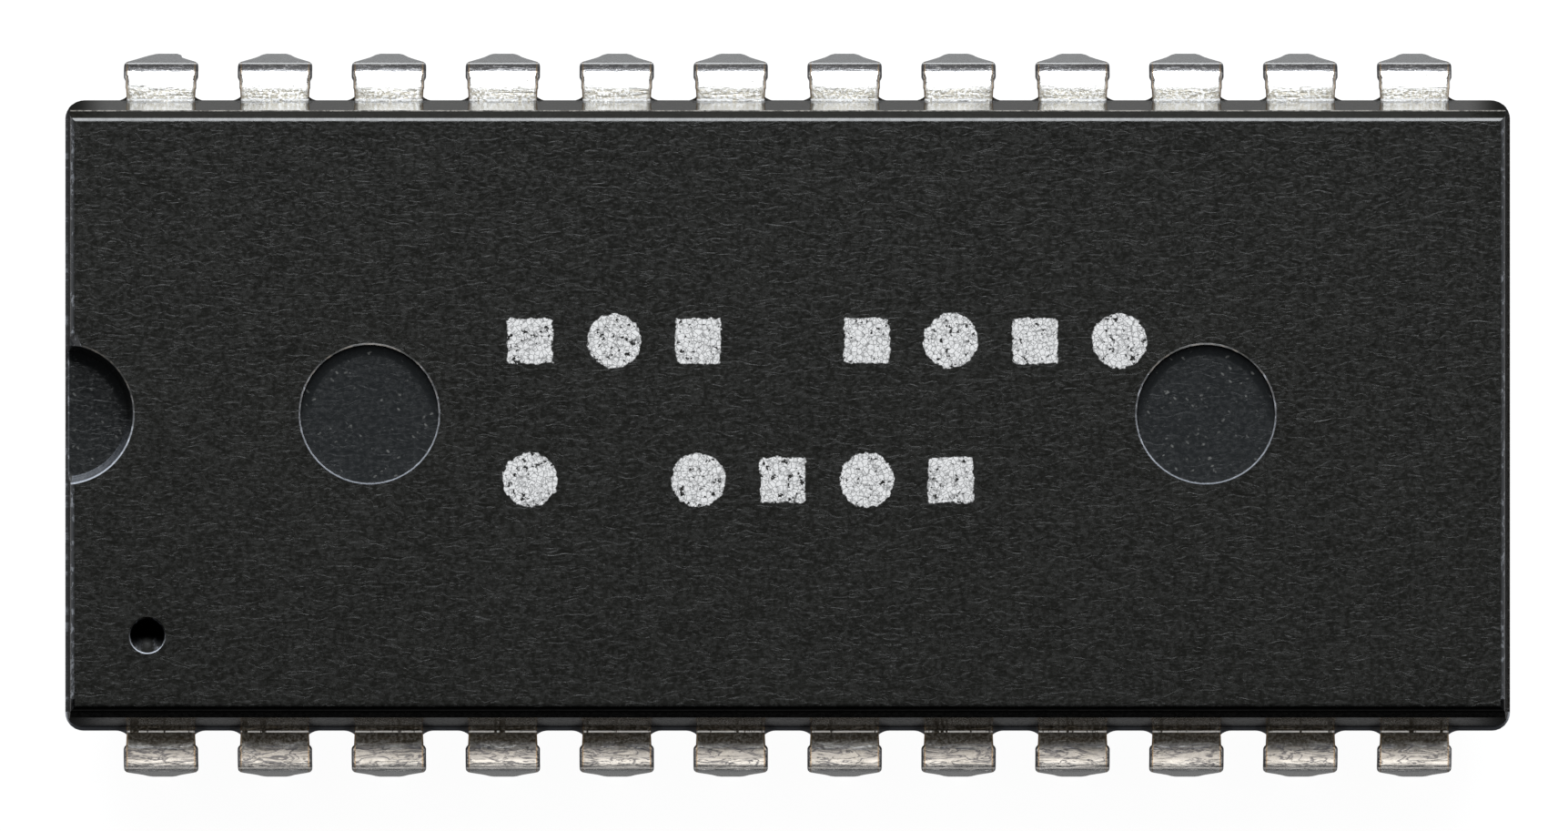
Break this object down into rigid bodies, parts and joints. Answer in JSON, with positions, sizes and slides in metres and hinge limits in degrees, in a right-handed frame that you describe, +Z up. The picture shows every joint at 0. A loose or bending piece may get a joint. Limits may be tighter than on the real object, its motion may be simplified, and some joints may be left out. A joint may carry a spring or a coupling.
{
  "type": "dual in-line integrated circuit chip",
  "caption": "Dual in-line chip package: a moulded epoxy body with an end notch and a dimple, on two rows of formed leads.",
  "frame": {"origin": "on the surface that the lead tips stand on, below the middle of the body", "axes": "+X along the body away from the notched end, +Y across the body toward the second row of leads, +Z up out of the top face"},
  "size_m": [0.0322, 0.0162, 0.0075],
  "materials": {
    "moulded_epoxy": "fine matte texture on top, polished side walls",
    "tinned_leads": "bright tin plating with die marks",
    "lead_frame": "stamped copper alloy",
    "die_glue": "silver-filled epoxy",
    "silicon": "polished silicon",
    "gold_wire": "drawn gold wire"
  },
  "bodies": {
    "root": {"body": "moulded_epoxy", "lead_01": "tinned_leads", "lead_02": "tinned_leads", "lead_03": "tinned_leads", "lead_04": "tinned_leads", "lead_05": "tinned_leads", "lead_06": "tinned_leads", "lead_07": "tinned_leads", "lead_08": "tinned_leads", "lead_09": "tinned_leads", "lead_10": "tinned_leads", "lead_11": "tinned_leads", "lead_12": "tinned_leads", "lead_13": "tinned_leads", "lead_14": "tinned_leads", "lead_15": "tinned_leads", "lead_16": "tinned_leads", "lead_17": "tinned_leads", "lead_18": "tinned_leads", "lead_19": "tinned_leads", "lead_20": "tinned_leads", "lead_21": "tinned_leads", "lead_22": "tinned_leads", "lead_23": "tinned_leads", "lead_24": "tinned_leads", "die_pad": "lead_frame", "die_attach": "die_glue", "die": "silicon", "bond_wire_01": "gold_wire", "bond_wire_02": "gold_wire", "bond_wire_03": "gold_wire", "bond_wire_04": "gold_wire", "bond_wire_05": "gold_wire", "bond_wire_06": "gold_wire", "bond_wire_07": "gold_wire", "bond_wire_08": "gold_wire", "bond_wire_09": "gold_wire", "bond_wire_10": "gold_wire", "bond_wire_11": "gold_wire", "bond_wire_12": "gold_wire", "bond_wire_13": "gold_wire", "bond_wire_14": "gold_wire", "bond_wire_15": "gold_wire", "bond_wire_16": "gold_wire", "bond_wire_17": "gold_wire", "bond_wire_18": "gold_wire", "bond_wire_19": "gold_wire", "bond_wire_20": "gold_wire", "bond_wire_21": "gold_wire", "bond_wire_22": "gold_wire", "bond_wire_23": "gold_wire", "bond_wire_24": "gold_wire"}
  },
  "joints": []
}
